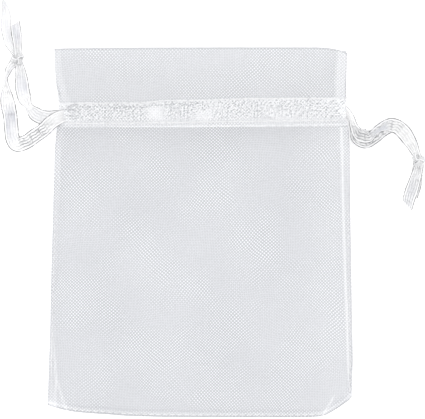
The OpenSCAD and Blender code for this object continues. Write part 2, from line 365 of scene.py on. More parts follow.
FRONT_CLOTH = organza("organza_front", 0.0, 20.0)
BACK_CLOTH = organza("organza_back", 1.9, 47.0)
ALLOWANCE_CLOTH = organza("organza_allowance", 3.0, 93.0)
# Each ribbon material's two colours are painted shade of its grooves and its rims: dark on the free
# ribbons, softer inside the casing, and pale on the knots, a lighter copy against the shade in their folds
RIBBON = ribbon_material("organza_ribbon", (0.2, 0.205, 0.22, 1), (0.16, 0.165, 0.17, 1))
KNOT_RIBBON = ribbon_material("organza_knot", (0.8, 0.81, 0.83, 1), (0.95, 0.96, 0.98, 1))
CASED_RIBBON = ribbon_material("organza_ribbon_cased", (0.3, 0.31, 0.33, 1), (0.35, 0.36, 0.38, 1))
THREAD = thread_material("white_thread", (1.0, 1.0, 1.0, 1), (0.95, 0.955, 0.97, 1))
EDGE_THREAD = thread_material("cut_edge_thread", (1.0, 1.0, 1.0, 1), (0.84, 0.85, 0.88, 1))


def dress(obj, material):
    obj.data.materials.append(material)
    return obj


def grid_piece(name, rows, columns, place, material, skip=None):
    """A dressed grid, where place(j, i) gives a point, its cloth coordinate, its tone and its light, which
    is painted light and shade.
    """
    points = [place(j, i) for j in range(rows) for i in range(columns)]
    verts, uvs, tones, lights = zip(*points)
    obj = mesh_object(name, verts, grid_faces(rows, columns, skip), uvs, tones, lights)
    return dress(obj, material)


def attach(obj, body, *nodes):
    """The piece rides on body and stands for CAD nodes."""
    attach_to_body(obj, body)
    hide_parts(*nodes)
    return obj


# ---- cords

# Routes of the free ribbons in metres, the same points as the CAD's: x, y, z and width
LEFT_FRONT_ROUTE = [
    (-0.042, 0.03855, 0.0067, 0.0044), (-0.0454, 0.0385, 0.0069, 0.0044),
    (-0.049, 0.0364, 0.0066, 0.0048), (-0.052, 0.0338, 0.004, 0.0048),
    (-0.055, 0.0318, 0.0018, 0.0048), (-0.058, 0.0299, 0.001, 0.0048),
    (-0.0606, 0.0294, 0.0009, 0.0048), (-0.062, 0.0316, 0.0009, 0.0048),
    (-0.0624, 0.035, 0.0008, 0.0048), (-0.0628, 0.039, 0.0007, 0.0048),
    (-0.0636, 0.0435, 0.0006, 0.0048), (-0.0642, 0.0475, 0.0008, 0.004),
    (-0.0644, 0.051, 0.0012, 0.0032), (-0.0632, 0.054, 0.0018, 0.0026),
    (-0.0614, 0.0562, 0.0022, 0.0026),
]
LEFT_LONG_ROUTE = [
    (-0.0604, 0.0588, 0.0024, 0.0026), (-0.0618, 0.0608, 0.002, 0.0026),
    (-0.0632, 0.0632, 0.0014, 0.003), (-0.0639, 0.0664, 0.0009, 0.0032),
    (-0.064, 0.0696, 0.0006, 0.0032), (-0.0641, 0.073, 0.0005, 0.0028),
    (-0.0645, 0.0768, 0.0004, 0.0014),
]
LEFT_BACK_ROUTE = [
    (-0.042, 0.0385, 0.0005, 0.0044), (-0.0465, 0.0385, 0.0005, 0.0044),
    (-0.0515, 0.0382, 0.0005, 0.0048), (-0.0544, 0.0395, 0.0005, 0.0048),
    (-0.0566, 0.0418, 0.0005, 0.0048), (-0.058, 0.0446, 0.0006, 0.0048),
    (-0.0588, 0.048, 0.0007, 0.0048), (-0.059, 0.0514, 0.001, 0.004),
    (-0.0593, 0.054, 0.0016, 0.0032), (-0.0597, 0.056, 0.0021, 0.0026),
]
LEFT_SHORT_ROUTE = [
    (-0.06, 0.0588, 0.0032, 0.0026), (-0.0601, 0.0608, 0.0029, 0.0026),
    (-0.0603, 0.0634, 0.0023, 0.0032), (-0.0607, 0.0662, 0.0018, 0.0034),
    (-0.0611, 0.0692, 0.0015, 0.003),
]
RIGHT_FRONT_ROUTE = [
    (0.042, 0.0409, 0.0063, 0.0044), (0.0462, 0.0406, 0.0065, 0.0048),
    (0.0491, 0.0384, 0.0065, 0.0048), (0.0505, 0.0352, 0.0053, 0.0048),
    (0.0525, 0.0327, 0.003, 0.0048), (0.0552, 0.032, 0.0018, 0.0048),
    (0.0578, 0.0336, 0.0017, 0.0048), (0.0604, 0.035, 0.0017, 0.0048),
    (0.0628, 0.0357, 0.0017, 0.0048), (0.0654, 0.0348, 0.0017, 0.0048),
    (0.0678, 0.0322, 0.0017, 0.0048), (0.0696, 0.0294, 0.0018, 0.004),
    (0.0709, 0.0268, 0.0022, 0.003), (0.0715, 0.0254, 0.0028, 0.0026),
]
RIGHT_LONG_ROUTE = [
    (0.0719, 0.023, 0.0026, 0.0026), (0.0715, 0.0208, 0.0023, 0.0032),
    (0.0707, 0.018, 0.0018, 0.0038), (0.0698, 0.015, 0.0016, 0.0042),
    (0.0688, 0.012, 0.0015, 0.0042), (0.0681, 0.0092, 0.0014, 0.0036),
]
RIGHT_BACK_ROUTE = [
    (0.042, 0.0409, 0.0009, 0.0044), (0.0462, 0.0406, 0.0009, 0.0048),
    (0.0491, 0.0378, 0.0009, 0.0048), (0.0504, 0.0344, 0.0008, 0.0048),
    (0.0517, 0.0316, 0.0007, 0.0048), (0.0542, 0.0304, 0.0006, 0.0048),
    (0.057, 0.0318, 0.0006, 0.0048), (0.0596, 0.034, 0.0006, 0.0048),
    (0.0626, 0.0356, 0.0006, 0.0048), (0.0654, 0.0348, 0.0006, 0.0048),
    (0.0678, 0.0322, 0.0006, 0.0048), (0.0696, 0.0294, 0.0008, 0.004),
    (0.0709, 0.0268, 0.0013, 0.003), (0.0715, 0.0254, 0.0018, 0.0026),
]
RIGHT_SHORT_ROUTE = [
    (0.0714, 0.023, 0.0017, 0.0026), (0.0713, 0.0208, 0.0013, 0.0032),
    (0.0712, 0.018, 0.0008, 0.0038), (0.0706, 0.0152, 0.0006, 0.004),
    (0.0698, 0.0126, 0.0005, 0.004),
]


def spline(points, step=0.35):
    """Catmull-Rom samples along rows of numbers, about step mm apart."""
    rows = [np.array(p, float) for p in points]
    rows = [2 * rows[0] - rows[1]] + rows + [2 * rows[-1] - rows[-2]]
    out = []
    for k in range(1, len(rows) - 2):
        a, b, c, d = rows[k - 1:k + 3]
        count = max(2, int(np.linalg.norm(c[:3] - b[:3]) / step))
        for s in range(count):
            t = s / count
            out.append(0.5 * (2 * b + (c - a) * t + (2 * a - 5 * b + 4 * c - d) * t * t
                              + (3 * b - a - 3 * c + d) * t ** 3))
    out.append(rows[-2])
    return out


def tucked(line, edge, rise):
    """Keeps a strand between the neck's front and back cloth until it is clear of them, edge mm from the
    middle. It stays within start_rise of the neck's middle plane up to there, where it is rise off it."""
    start_rise = 2.9
    sign = 1 if line[0][2] > MID_Z else -1
    out = []
    for row in line:
        row = np.array(row)
        reach = abs(row[0])
        if reach < edge:
            share = max(0.0, (reach - STRAND_START) / (edge - STRAND_START)) ** 1.5
            most = MID_Z + sign * (start_rise - (start_rise - rise) * share)
            row[2] = min(row[2], most) if sign > 0 else max(row[2], most)
        else:
            over = 1 - smooth((reach - edge) / 4.0)
            row[2] += (MID_Z + sign * rise - row[2]) * over * 0.95
        out.append(row)
    return out


def with_look(route, look):
    """A route's rows of x, y, z and width, now in mm, with the roll, line strength and greyness of look,
    the last two painted shade.
    """
    rows = []
    for k, place in enumerate(route):
        x, y, z, width = (c * 1000 for c in place)
        roll, share, lines, grey = (between([(row[0], row[c]) for row in look], k) for c in (1, 2, 3, 4))
        rows.append((x, y, z, width * share, roll, lines, grey))
    return rows


def running_lengths(line):
    """The length of a line of points up to each of them."""
    lengths = [0.0]
    for a, b in zip(line, line[1:]):
        lengths.append(lengths[-1] + math.dist(a, b))
    return lengths


def corrugation(u, along, pinch, seed):
    """How far a ribbon's cross-section rises at u across. It is folded up where pinch is near 1."""
    lift = (0.09 + 0.30 * pinch) * math.cos(u * math.pi * (6 if pinch < 0.3 else 5))
    lift *= 0.6 + 0.8 * abs(wave(along * 0.22, u * 2.0, seed + 5))
    lift += 0.22 * wave(along * 0.16, u * 1.4, seed + 9) * (1 - pinch)
    return lift + (0.10 + 0.5 * pinch) * (2 * u - 1) ** 2 * math.sin(along * 0.3 + seed)


def across_frame(line, k, roll):
    """Unit vectors ahead, across and off the flat of a ribbon at row k of its line."""
    ahead = Vector(line[min(k + 2, len(line) - 1)][:3] - line[max(k - 2, 0)][:3]).normalized()
    side = Vector((0, 0, 1)).cross(ahead).normalized()
    up = ahead.cross(side)
    return ahead, side * math.cos(roll) + up * math.sin(roll), up * math.cos(roll) - side * math.sin(roll)


def ribbon_strand(name, line, seed, end_cut):
    """A flat ribbon along the rows of line, in mm. end_cut slants the far end. Where the ribbon is narrower
    than flat_width it is folded up, and its points stay above the table."""
    columns, flat_width, lowest = 25, 4.6, 0.08
    lengths = running_lengths([row[:3] for row in line])

    def place(k, i):
        x, y, z, width, roll, strength, greyness = (float(c) for c in line[k])
        ahead, flat, normal = across_frame(line, k, math.radians(roll))
        u, along = i / (columns - 1), lengths[k]
        pinch = smooth((flat_width - width) / 2.0)
        cut = smooth((along / lengths[-1] - 0.93) / 0.07) * end_cut
        offset = (u - 0.5) * width * (1 + 0.06 * wave(along * 0.35, u * 0.8, seed))
        v = Vector((x, y, z)) + flat * offset + normal * corrugation(u, along, pinch, seed)
        v += ahead * (cut * (u - 0.5))
        v.z = max(v.z, lowest)
        grey = min(max(greyness * (1 + wave(along * 0.2, u * 1.5, seed + 3)), 0.0), 1.0)
        return v, (u, along + seed * 3), grey, max(strength, 0.0)

    return grid_piece(name, len(line), columns, place, RIBBON)


def knot_piece(name, centre, turn, size):
    """An overhand knot: the ribbons' flattened band winds through itself."""
    count, columns = 132, 11
    cos_t, sin_t = math.cos(turn), math.sin(turn)

    def knot_point(t):
        x = math.sin(t) + 2 * math.sin(2 * t)
        y = math.cos(t) - 2 * math.cos(2 * t)
        z = -math.sin(3 * t)
        return Vector((
            centre[0] + size * (x * cos_t - y * sin_t * 0.8),
            centre[1] + size * (x * sin_t + y * cos_t * 0.8),
            centre[2] + size * 1.5 * z,
        ))

    def place(k, i):
        t, u = 2 * math.pi * k / count, i / (columns - 1)
        p = knot_point(t)
        ahead = (knot_point(t + 0.02) - knot_point(t - 0.02)).normalized()
        out = p - Vector(centre)
        out = (out - ahead * out.dot(ahead)).normalized()
        side = ahead.cross(out)
        reach = (u - 0.5) * size * 2.9
        fold = size * 0.22 * math.cos(u * math.pi * 5 + math.sin(t * 2))
        curl = -size * (2 * u - 1) ** 2
        # greyness 0.1 and line strength 0.8 are painted shade on the knot
        return p + side * reach + out * (fold + curl + 0.2), (u, t * 6), 0.1, 0.8

    return grid_piece(name, count + 1, columns, place, KNOT_RIBBON)


# Looks of the strands: route point, degrees of roll, share of the width, strength of the lines, greyness.
# The lines and the greyness are painted shade.
LEFT_FRONT_LOOK = [
    (0, 0, 0.82, 0.3, 0.0), (1, 0, 1, 0.2, 0.0), (2, 8, 1, 0.5, 0.0), (3, 14, 1, 1.5, 0.15),
    (5, -6, 1, 1.4, 0.15), (6, 0, 1, 0.7, 0.0), (7, 10, 1, 0.5, 0.6), (8, 12, 1, 0.35, 0.9),
    (9, 14, 1, 0.5, 0.8), (10, 16, 1, 0.7, 0.2), (11, 50, 1, 0.7, 0.1), (12, 84, 1, 0.6, 0.2),
    (13, 55, 1, 0.6, 0.2), (14, 20, 1, 0.8, 0.1), (16, 5, 1, 0.6, 0.1), (18, -5, 1, 0.3, 0.4),
    (20, -8, 1, 0.3, 0.35), (21, -12, 1, 0.35, 0.35),
]
LEFT_BACK_LOOK = [
    (0, 0, 0.82, 0.3, 0.1), (1, 0, 1, 0.25, 0.1), (2, 8, 1, 0.5, 0.3), (3, 20, 1, 0.6, 0.3),
    (4, 60, 1, 0.6, 0.1), (5, 25, 1, 0.45, 0.2), (6, 15, 1, 0.3, 0.7), (7, 10, 1, 0.45, 0.5),
    (8, 12, 1, 0.8, 0.1), (11, 12, 1, 0.6, 0.2), (13, 8, 1, 0.45, 0.9), (14, 8, 1, 0.6, 0.5),
]
RIGHT_FRONT_LOOK = [
    (0, 0, 0.82, 0.5, 0.1), (1, 25, 0.8, 0.35, 0.0), (2, 55, 0.5, 0.2, 0.0), (3, 45, 0.7, 0.9, 0.1),
    (4, 10, 1, 1.3, 0.1), (5, -25, 1, 1.4, 0.1), (6, -72, 1, 0.3, 0.8), (7, -58, 1, 0.3, 0.9),
    (8, -10, 1, 0.9, 0.1), (9, 0, 1, 1.0, 0.0), (10, 12, 1, 0.5, 0.0), (11, 15, 1, 0.55, 0.0),
    (13, 35, 1, 0.8, 0.0), (15, 10, 1, 0.8, 0.1), (18, 0, 1, 0.8, 0.5),
]
RIGHT_BACK_LOOK = [
    (0, 0, 0.82, 0.5, 0.1), (1, 0, 0.6, 0.35, 0.0), (2, 0, 0.35, 0.2, 0.0), (3, -6, 0.55, 0.9, 0.0),
    (4, -8, 0.95, 1.3, 0.0), (6, -10, 1, 1.3, 0.1), (9, 8, 1, 0.5, 0.0), (12, -15, 1, 0.6, 0.0),
    (18, 10, 1, 0.5, 0.1),
]


# Per side: the knot's centre, turn in radians and size, and edge and rise for tucked()
SIDES = {
    "left": ((-60.2, 57.4, 2.4), 0.35, 0.74, (45.0, 2.55)),
    "right": ((71.7, 24.2, 2.5), -0.3, 0.72, (47.2, 2.4)),
}
# Per strand: side, place, tail, route, look, exit and length in metres, and slant of its cut end in mm
STRANDS = (
    ("left", "front", "long", LEFT_FRONT_ROUTE + LEFT_LONG_ROUTE, LEFT_FRONT_LOOK,
     (-0.0482, 0.0385, 0.0066), 0.0735, 3.0),
    ("left", "back", "short", LEFT_BACK_ROUTE + LEFT_SHORT_ROUTE, LEFT_BACK_LOOK,
     (-0.0482, 0.0385, 0.0012), 0.0445, -1.5),
    ("right", "front", "long", RIGHT_FRONT_ROUTE + RIGHT_LONG_ROUTE, RIGHT_FRONT_LOOK,
     (0.0482, 0.0390, 0.0062), 0.0584, 2.4),
    ("right", "back", "short", RIGHT_BACK_ROUTE + RIGHT_SHORT_ROUTE, RIGHT_BACK_LOOK,
     (0.0482, 0.0390, 0.0011), 0.0555, 1.0),
)


def make_knots():
    knots = {}
    for word, (centre, turn, size, _) in SIDES.items():
        knot = knot_piece(f"{word}_overhand_knot", centre, turn, size)
        knots[word] = attach(knot, f"{word}_drawstring", f"{word}_knot")
    return knots


def make_cords():
    knots = make_knots()
    for number, (word, place, tail, route, look, exit_point, length, end_cut) in enumerate(STRANDS):
        line = tucked(spline(with_look(route, look)), *SIDES[word][3])
        obj = ribbon_strand(f"{word}_{place}_strand", line, number + 1.0, end_cut)
        attach(obj, f"{word}_drawstring", f"{word}_{place}_lead", f"{word}_{tail}_tail")
        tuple(exit_point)


make_cords()

# ---- the pouch's lines, in mm

BOTTOM_Y = -60.5
NECK_Y = 34.9
# The neck's cross-section: half its height, how wide its rounded sides are, and their share of its points
NECK_RZ = 3.6
SIDE_RX = 6.2
SIDE_SHARE = 0.09
# How far from the middle the exit gaps start
GAP_LEFT = 44.9
GAP_RIGHT = 47.5
# The mouth as (x, y)
MOUTH_LINE = [
    (-48, 60.5), (-20, 60.75), (10, 60.85), (38, 60.85), (42, 60.6), (45, 60.1), (47, 59.6), (48.3, 59.0),
]

# Half-outlines as (height above the bottom seam, x)
LEFT_EDGE = [
    (0, -50.3), (4, -50.25), (12, -50.0), (25, -49.6), (45, -49.2), (71, -48.5), (88, -47.9),
    (95.4, -47.2), (98, -46.8), (101, -46.6), (105, -46.8), (110, -47.6), (115, -47.9), (121.2, -48.1),
]
RIGHT_EDGE = [
    (0, 49.8), (6.5, 49.8), (9, 50.1), (13, 50.2), (30, 49.9), (71, 49.3), (88, 49.1),
    (95.4, 48.7), (99, 48.2), (103, 48.0), (110, 48.0), (121.2, 48.25),
]
# The bottom seam's line as (x, height): the left corner lifts, the right corner is cut off
BOTTOM_LINE = [
    (-50.3, 4.0), (-48, 3.3), (-45, 2.5), (-41.5, 1.8), (-36.7, 1.35), (-31, 1.0), (-25, 0.5), (-13, 0.1),
    (0, 0.0), (36, 0.0), (39.8, 0.3), (41.7, 0.9), (45.2, 3.0), (48.9, 5.6), (49.8, 6.8), (50.5, 8.0),
]
# The casing's stitch rows and the hem's cut edge as (x, y)
UPPER_ROW = [(-46, 42.7), (-19, 42.85), (-14, 43.5), (0, 43.7), (15, 44.2), (46, 44.45)]
LOWER_ROW = [(-46, 36.1), (-20, 36.3), (0, 36.6), (20, 36.9), (46, 37.2)]


def hem_edge_y(x):
    return 35.15 + 0.0117 * x + 0.12 * wave(x * 0.3, 0.0, 4)


def row_y(row, x):
    return between(row, x) + 0.12 * wave(x * 0.45, 0.0, row[0][1])


def casing_rows(x):
    return row_y(LOWER_ROW, x), row_y(UPPER_ROW, x)


def side_x(side, h):
    return between(LEFT_EDGE if side < 0 else RIGHT_EDGE, h)


def both_sides(h):
    return side_x(-1, h), side_x(1, h)


# ---- body panels

BODY_TOP = NECK_Y - BOTTOM_Y
CROWN = 7.4
# Height of the seams above the table, away from the neck
SEAM_Z = 0.5


def near_neck(h, start):
    """From 0 at the height start to 1 at the neck."""
    return smooth((h - start) / (BODY_TOP - start))


def shoulder_lift(h):
    """How far the side seams rise towards the neck's middle plane."""
    return (MID_Z - SEAM_Z) * near_neck(h, 72)


def ring_share(x, y):
    """How far the neck's outline is from its middle plane at x, as a share of its half-height."""
    left, right = both_sides(y - BOTTOM_Y)
    over = max(left + SIDE_RX - x, x - right + SIDE_RX, 0.0) / SIDE_RX
    return math.sqrt(max(0.0, 1 - over * over))


def body_arch(u, h):
    """Shares of the crown's height, across at u from -1 to 1 and along at h up from the bottom."""
    power = 2.4 + 5.6 * near_neck(h, 58)
    across = max(0.0, 1 - abs(u) ** power) ** (0.85 - 0.35 * smooth((h - 60) / 35))
    along = math.sin(math.pi / 2 * min(1.0, max(h, 0) / 40)) ** 0.75
    return across, along


def crease(x, y, seed):
    """Soft broad folds and a few crisp ones, from -1 to 1."""
    broad = wave(x * 0.045, y * 0.035, seed)
    fine = wave(x * 0.16, y * 0.09, seed + 3)
    ridge = 1 - 2 * abs(wave(x * 0.06 + y * 0.02, y * 0.05 - x * 0.015, seed + 7))
    return 0.55 * broad + 0.25 * fine + 0.2 * ridge


def body_point(u, v, front):
    """A point of the front or back panel. u is -1 to 1 across, v is 0 to 1 from the bottom seam up."""
    left, right = both_sides(v * BODY_TOP)
    x = (left + right) / 2 + u * (right - left) / 2
    base = between(BOTTOM_LINE, x)
    h = base + v * (BODY_TOP - base)
    across, along = body_arch(u, h - base)
    join = near_neck(h, 62)
    edge_z = SEAM_Z + shoulder_lift(h)
    edge_fade = min(1.0, (1 - abs(u)) * 6) * min(1.0, (h - base) / 5)
    folds = crease(x, h, 1.0 if front else 14.0)
    if front:
        crown = CROWN + (2 * NECK_RZ - 0.1 - CROWN) * join
        z = edge_z + (crown - edge_z) * across * (along * (1 - join) + join)
        z += 0.45 * folds * edge_fade * (1 - 0.8 * join)
        pucker = math.sin(x * 1.1 + 2 * wave(x * 0.1, 0, 3))
        z += math.exp(-(BODY_TOP - h) / 7) * 0.10 * pucker * edge_fade
    else:
        z = edge_z - (edge_z - 0.1) * min(1.0, across * 1.6) ** 0.6
        z += 0.18 * abs(folds) * edge_fade * (1 - join)
    rim = MID_Z + (1 if front else -1) * (NECK_RZ - 0.12) * ring_share(x, BOTTOM_Y + h)
    z = max(z + (rim - z) * near_neck(h, 74), 0.06)
    # the left corner curls up a little
    curl = math.exp(-((x + 50) ** 2 + (h - 4) ** 2) / 60)
    return x, BOTTOM_Y + h, z + 1.3 * curl


# The cut edges inside the side seams as (height above the bottom seam, x)
RIGHT_CUT = [(8, 49.2), (14, 48.8), (35, 48.1), (50, 47.5), (71, 46.9), (88, 46.4), (95, 46.1)]
LEFT_CUT = [(6, -47.6), (12, -47.5), (18, -47.9), (24, -48.3), (40, -47.9), (71, -46.4), (95, -45.2)]


def bell(distance, width):
    return math.exp(-(distance / width) ** 2)


def painted_right_seam_light(x, h):
    """Painted light at the right seam: a pale band over the allowance that grows towards the right, a
    bright line at its cut edge, and a painted dark outline along the cloth's edge.
    """
    inside = x - between(RIGHT_CUT, h)
    light = 0.3 * smooth((inside + 0.3) / 0.6) + 0.2 * smooth((x - 26) / 20)
    light += 0.8 * bell(inside, 0.36) * smooth((h - 6) / 10)
    return light - 0.7 * bell(x - side_x(1, h) + 0.1, 0.26)


def painted_left_seam_light(x, h):
    """The same painted light and shade at the left, with a second painted pale line beside it and one that
    curves out of the corner.
    """
    inside = between(LEFT_CUT, h) - x
    light = 0.42 * smooth((inside + 0.3) / 0.6)
    light += 0.75 * bell(inside, 0.28) * bell(h - 16, 11)
    light += 0.6 * bell(x + 49.2 - 0.4 * wave(h * 0.2, 0, 1), 0.25) * bell(h - 22, 7)
    light += 0.6 * bell(x + 47.2 - 0.14 * (13 - h) ** 1.3, 0.35) * smooth((13 - h) / 2) if h < 13 else 0.0
    return light - 0.6 * bell(x - side_x(-1, h) - 0.1, 0.25)


def painted_seam_light(x, h):
    """How far painted light whitens the front at x across and h up, over the seams' plies and along the
    bottom seam and the cut-off corner. Below zero it is painted shade that darkens it.
    """
    light = 0.02 + (painted_right_seam_light(x, h) if x > 0 else painted_left_seam_light(x, h))
    base = between(BOTTOM_LINE, x)
    # a painted bright line above the bottom seam, and a painted dark outline along the bottom edge
    light += 0.65 * bell(h - base - 1.0, 0.28) - 0.8 * bell(h - base - 0.1, 0.28)
    # a painted bright line along the cut-off corner's fold, and painted shade beside it
    corner = (x - 40.6) - (h - 0.9) * 0.55
    light += 0.8 * bell(corner, 0.3) * smooth((8.0 - h) / 2)
    light -= 0.35 * bell(corner - 4.0, 2.4) * smooth((7.5 - h) / 2)
    return light + 0.12 * wave(x * 0.05, h * 0.05, 21)


def body_columns(side):
    """Shares across for one half, closer together near the side edge."""
    steps = 64
    return [side * (1 - (1 - k / steps) ** 1.35) for k in range(steps + 1)]


def body_half(name, side, front):
    us = body_columns(side)
    if side < 0:
        us = us[::-1]
    rows, half_width = 97, 49

    def place(j, i):
        u, v = us[i], j / (rows - 1)
        x, y, z = body_point(u, v, front)
        from_side, from_bottom = (1 - abs(u)) * half_width, v * BODY_TOP
        tone = 0.35 * math.exp(-from_side / 0.35) + 0.35 * math.exp(-from_bottom / 0.35)
        return (x, y, z), (x, y), tone, painted_seam_light(x, y - BOTTOM_Y) if front else 0.0

    return grid_piece(name, rows, len(us), place, FRONT_CLOTH if front else BACK_CLOTH)


def blend_with_neck(obj):
    """Bakes the piece's placement into its points."""
    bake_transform(obj)


def make_body():
    for side, word in ((-1, "left"), (1, "right")):
        for place, under in (("front", f"back_body_{word}"), ("back", "white_table_top")):
            half = body_half(f"{place}_body_{word}", side, place == "front")
            blend_with_neck(half)
            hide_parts(f"{place}_panel")


make_body()

# ---- neck


def ring_place(s, y, depth, up):
    """x and z on the neck's cross-section at y. s is -1 to 1 from the left seam to the right seam."""
    left, right = both_sides(y - BOTTOM_Y)
    flat_left, flat_right = left + SIDE_RX, right - SIDE_RX
    if abs(s) > 1 - SIDE_SHARE:
        a = (1 - abs(s)) / SIDE_SHARE * math.pi / 2
        rx, rz = SIDE_RX - depth, NECK_RZ - depth
        x = (flat_right if s > 0 else flat_left) + (1 if s > 0 else -1) * rx * math.cos(a)
        return x, MID_Z + up * rz * math.sin(a)
    t = (s + 1 - SIDE_SHARE) / (2 - 2 * SIDE_SHARE)
    return flat_left + (flat_right - flat_left) * t, MID_Z + up * (NECK_RZ - depth)


def header_wave(x, y, seed):
    """Soft ruffles of the frill above the casing, fading out at the casing."""
    rise = smooth((y - 44.5) / 12)
    ruffle = math.sin(x * 0.95 + 1.6 * wave(x * 0.08, y * 0.03, seed) + seed)
    return rise * (0.16 * ruffle + 0.35 * wave(x * 0.07, y * 0.06, seed + 2))


def frill(s, x, y, seed, share):
    """The ruffles' height, less at the side seams, with the frill's thinning towards the mouth."""
    return header_wave(x, y, seed) * share * min(1.0, (1 - abs(s)) * 12) - 0.35 * smooth((y - 46) / 14)


def casing_depth(x, y):
    """How far the outer ply is drawn in towards the hem ply at both stitch rows, with small puckers."""
    low, high = casing_rows(x)
    drawn = 0.42 * (bell(y - low, 0.35) + bell(y - high, 0.35))
    pucker = 0.05 * math.sin(x * 2.51) * math.exp(-min(abs(y - low), abs(y - high)) / 1.2)
    return drawn + pucker


# Rows of points between the neck's start and the lower stitch row
START_ROWS = 5


def neck_levels(x):
    """The outer ply's rows at x as y: from the neck's start, by way of both stitch rows, to the mouth."""
    casing_count, header_count = 22, 44
    low, high = casing_rows(x)
    header = between(MOUTH_LINE, x) - high
    levels = [NECK_Y + (low - NECK_Y) * k / START_ROWS for k in range(START_ROWS)]
    levels += [low + (high - low) * k / casing_count for k in range(casing_count)]
    levels += [high + header * (1 - (1 - k / header_count) ** 1.3) for k in range(header_count + 1)]
    return levels


def neck_columns():
    """Values of s, a few round each rounded side and more across the flat face."""
    round_steps, flat_steps = 10, 264
    side = [1 - SIDE_SHARE * k / round_steps for k in range(round_steps)]
    flat = [-1 + SIDE_SHARE + (2 - 2 * SIDE_SHARE) * k / flat_steps for k in range(flat_steps + 1)]
    return [-s for s in side] + flat + side[::-1]


def painted_casing_light(x, y, low, seed):
    """Painted light and shade on the casing: a paler base, pale patches where the ribbons lie behind,
    flecks, and the ribbon's loop and top edge seen through it, painted dark.
    """
    patch = 0.75 * bell(x + 15.8, 2.7) * bell(y - 39.6, 2.4)
    patch += 0.35 * bell(x - 0.6, 3.6) * bell(y - 38.6, 2.0)
    cloud = 0.35 * max(0.0, wave(x * 0.13, y * 0.16, seed + 1))
    fleck = 1.35 * wave(x * 1.6, y * 2.0, seed + 2) + 1.45 * wave(x * 3.0, y * 3.2, seed + 3)
    calm = smooth((y - low) / 2.2) * (1 - 0.7 * min(1.0, 2 * patch))
    # the ribbon's loop and top edge seen through the casing, painted dark
    ring = math.hypot((x + 42.7) / 1.2, y - 38.6)
    loop = 0.55 * bell(ring - 1.0, 0.28)
    edge = 0.6 * bell(y - 40.7 + 0.07 * (x + 44) ** 2, 0.25) * smooth((-40.0 - x) / 2)
    return 0.66 + 0.003 * x + 0.12 * smooth((-26 - x) / 10) + patch + cloud + fleck * calm - max(loop, edge)


def painted_neck_light(x, y, seed):
    """How far painted light whitens the neck's outer ply, over the plies and ribbons behind and along its
    stitch rows and hem edge. Below zero it is painted shade that darkens it, under the rows and along its
    edges.
    """
    low, high = casing_rows(x)
    left, right = both_sides(y - BOTTOM_Y)
    light = 0.42
    if low < y < high:
        light = painted_casing_light(x, y, low, seed)
    elif y <= low:
        light = 0.55
    # painted bright lines along both stitch rows and the hem's cut edge
    row = 1.3 * bell(y - high, 0.3) + 1.1 * bell(y - low, 0.28) + 0.85 * bell(y - hem_edge_y(x), 0.26)
    light += row * (0.75 + 0.9 * wave(x * 0.8, y, 13))
    # painted shade under the upper row, a painted shadow under the hem's cut edge, and a painted dark
    # outline along the mouth
    light -= 0.55 * bell(y - high + 1.25, 0.28) * smooth((8 - x) / 20) * (0.7 + 0.8 * wave(x * 0.5, 1.0, 3))
    light -= 0.75 * bell(y - hem_edge_y(x) + 0.55, 0.22) + 0.12 * bell(y - high - 0.5, 0.25)
    light -= 0.65 * bell(y - between(MOUTH_LINE, x) + 0.05, 0.3)
    # painted light at the header's sides, over the seam plies behind
    if y > high:
        light += 0.25 * smooth((left + 2.9 - x) / 0.5) + 0.45 * smooth((x - right + 3.8) / 0.5)
    # painted dark outlines along both sides
    light -= 1.5 * bell(x - right + 0.15, 0.25) + 0.6 * bell(x - left - 0.15, 0.25)
    return light


def exit_lift(s, x, y):
    """How much the casing's ends stand open past the neck's rounded sides, to let the ribbons slide out."""
    if abs(s) < 1 - SIDE_SHARE:
        return 0.0
    low, high = casing_rows(x)
    within = smooth((y - low - 0.2) / 0.8) * smooth((high - 0.2 - y) / 0.8)
    return within * NECK_RZ * max(0.0, 0.92 - math.sin((1 - abs(s)) / SIDE_SHARE * math.pi / 2))


def outer_ply(s, x_mid, mouth, up, seed):
    """Rows at s from the neck's start up to the mouth, each a point, cloth coordinate, tone and painted
    light.
    """
    rows = []
    for y in neck_levels(x_mid):
        x, z = ring_place(s, y, 0.1 + casing_depth(x_mid, y), up)
        z += up * (exit_lift(s, x_mid, y) + frill(s, x, y, seed, 1.0))
        tone = 0.30 * math.exp(-(mouth - y) / 0.3) + 0.3 * math.exp(-(1 - abs(s)) * 48 / 0.5)
        rows.append(((x, y, z), (x, y), tone, painted_neck_light(x_mid, y, seed)))
    return rows


def mouth_fold(x, z, mouth, up):
    """Rows over the fold at the mouth, from the outer ply's last point at x and z."""
    rows = []
    for k in range(1, 4):
        a = math.pi * k / 4
        drop = 0.55 * (1 - math.cos(a))
        # -0.5 is painted shade along the fold at the mouth
        rows.append(((x, mouth + 0.25 * math.sin(a), z - up * drop), (x, mouth + 0.5 * k), 0.3, -0.5))
    return rows


def inner_ply(s, x_mid, mouth, up, seed):
    """Rows at s from the mouth down inside to the hem's cut edge."""
    count = 34
    bottom = hem_edge_y(x_mid)
    rows = []
    for k in range(count):
        y = mouth + (bottom - mouth) * k / (count - 1)
        x, z = ring_place(s, y, 1.27 - 0.5 * casing_depth(x_mid, y), up)
        z += up * frill(s, x, y, seed, 0.8)
        # 0.3 is painted light that whitens the inner ply
        rows.append(((x, y, z), (x + 31.0, 2 * mouth - y), 0.3 * math.exp(-(y - bottom) / 0.25), 0.3))
    return rows


